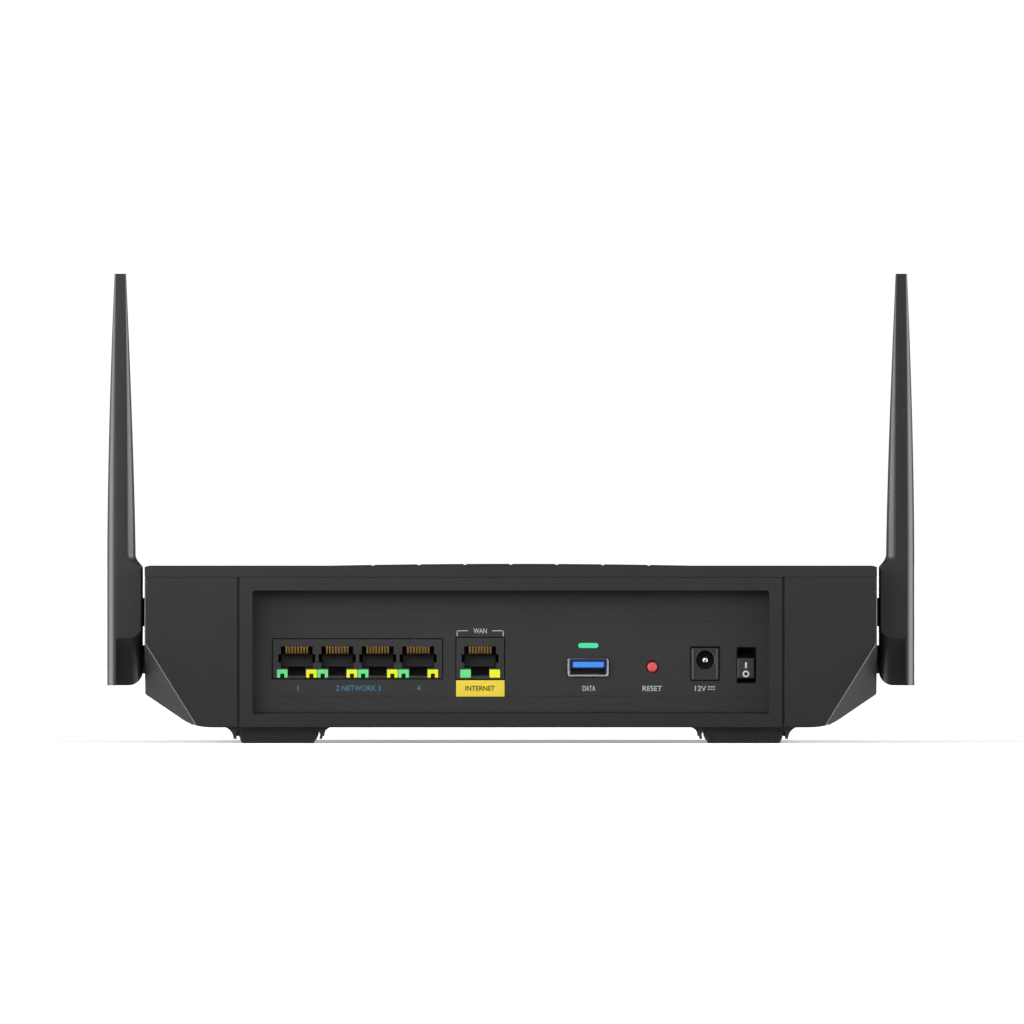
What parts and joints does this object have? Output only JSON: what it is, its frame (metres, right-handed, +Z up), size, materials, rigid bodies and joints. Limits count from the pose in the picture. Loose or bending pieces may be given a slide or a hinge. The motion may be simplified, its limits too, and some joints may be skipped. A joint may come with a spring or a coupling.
{
  "type": "wireless router",
  "caption": "Low wide wireless router case with a recessed connector panel, vented top and a folding blade antenna on each side.",
  "frame": {"origin": "on the surface the feet stand on, below the centre of the bounding box", "axes": "+X to the right when facing the connectors, +Y from the connectors to the front, +Z up"},
  "size_m": [0.2788, 0.204, 0.1621],
  "materials": {
    "case_plastic": "fine textured charcoal moulding",
    "recess_plastic": "fine textured charcoal moulding, slightly darker",
    "grille_plastic": "satin black moulding",
    "antenna_plastic": "satin charcoal moulding",
    "hinge_plastic": "smooth black",
    "foot_rubber": "matt black rubber",
    "jack_plastic": "dark grey connector plastic",
    "gold_contact": "gold-plated spring contacts",
    "steel": "plated steel",
    "blue_plastic": "blue connector tongue",
    "green_light": "lit green light pipe",
    "yellow_light": "lit yellow light pipe",
    "white_light": "white light pipe",
    "red_plastic": "red button",
    "yellow_label": "printed yellow label",
    "circuit_board": "green solder mask",
    "heat_sink_aluminium": "extruded aluminium",
    "thermal_gel": "soft grey-blue thermal pad",
    "black_plastic": "black plastic"
  },
  "bodies": {
    "case": {"bottom_housing": "case_plastic", "top_cover": "case_plastic", "vent_grille": "grille_plastic", "rear_frame": "case_plastic", "io_panel": "recess_plastic", "wan_label": "yellow_label", "status_light_pipe": "white_light", "left_rear_foot_pad": "foot_rubber", "left_front_foot_pad": "foot_rubber", "right_rear_foot_pad": "foot_rubber", "right_front_foot_pad": "foot_rubber", "case_screw_1": "steel", "case_screw_2": "steel", "case_screw_3": "steel", "case_screw_4": "steel", "main_board": "circuit_board", "processor_shield": "steel", "radio_shield": "steel", "thermal_pad": "thermal_gel", "heat_sink": "heat_sink_aluminium", "lan_jack_block": "jack_plastic", "wan_jack_block": "jack_plastic", "lan_1_contacts": "gold_contact", "lan_1_left_light": "green_light", "lan_1_right_light": "yellow_light", "lan_2_contacts": "gold_contact", "lan_2_left_light": "green_light", "lan_2_right_light": "yellow_light", "lan_3_contacts": "gold_contact", "lan_3_left_light": "green_light", "lan_3_right_light": "yellow_light", "lan_4_contacts": "gold_contact", "lan_4_left_light": "green_light", "lan_4_right_light": "yellow_light", "wan_contacts": "gold_contact", "wan_left_light": "green_light", "wan_right_light": "yellow_light", "usb_shell": "steel", "usb_tongue": "blue_plastic", "usb_light": "green_light", "reset_switch": "black_plastic", "dc_jack_body": "jack_plastic", "dc_jack_pin": "steel", "switch_housing": "hinge_plastic", "left_friction_washer": "black_plastic", "right_friction_washer": "black_plastic", "left_antenna_coax": "black_plastic", "right_antenna_coax": "black_plastic"},
    "left_antenna": {"left_antenna_shell": "antenna_plastic", "left_antenna_cover": "antenna_plastic", "left_antenna_radiator": "circuit_board", "left_antenna_hub": "hinge_plastic"},
    "right_antenna": {"right_antenna_shell": "antenna_plastic", "right_antenna_cover": "antenna_plastic", "right_antenna_radiator": "circuit_board", "right_antenna_hub": "hinge_plastic"},
    "power_rocker": {"switch_rocker": "jack_plastic"},
    "reset_plunger": {"reset_button": "red_plastic"}
  },
  "joints": [
    {"name": "left_antenna_tilt", "type": "hinge", "parent": "case", "child": "left_antenna", "pos_m": [-0.1264, -0.07, 0.037], "axis": [-1, 0, 0], "range_deg": [-20, 90]},
    {"name": "right_antenna_tilt", "type": "hinge", "parent": "case", "child": "right_antenna", "pos_m": [0.1264, -0.07, 0.037], "axis": [-1, 0, 0], "range_deg": [-20, 90]},
    {"name": "power_rocker_tilt", "type": "hinge", "parent": "case", "child": "power_rocker", "pos_m": [0.08115, -0.0895, 0.027], "axis": [1, 0, 0], "range_deg": [0, 12]},
    {"name": "reset_press", "type": "slide", "parent": "case", "child": "reset_plunger", "axis": [0, 1, 0], "range_m": [0, 0.0006], "stiffness_N_per_m": 300}
  ]
}
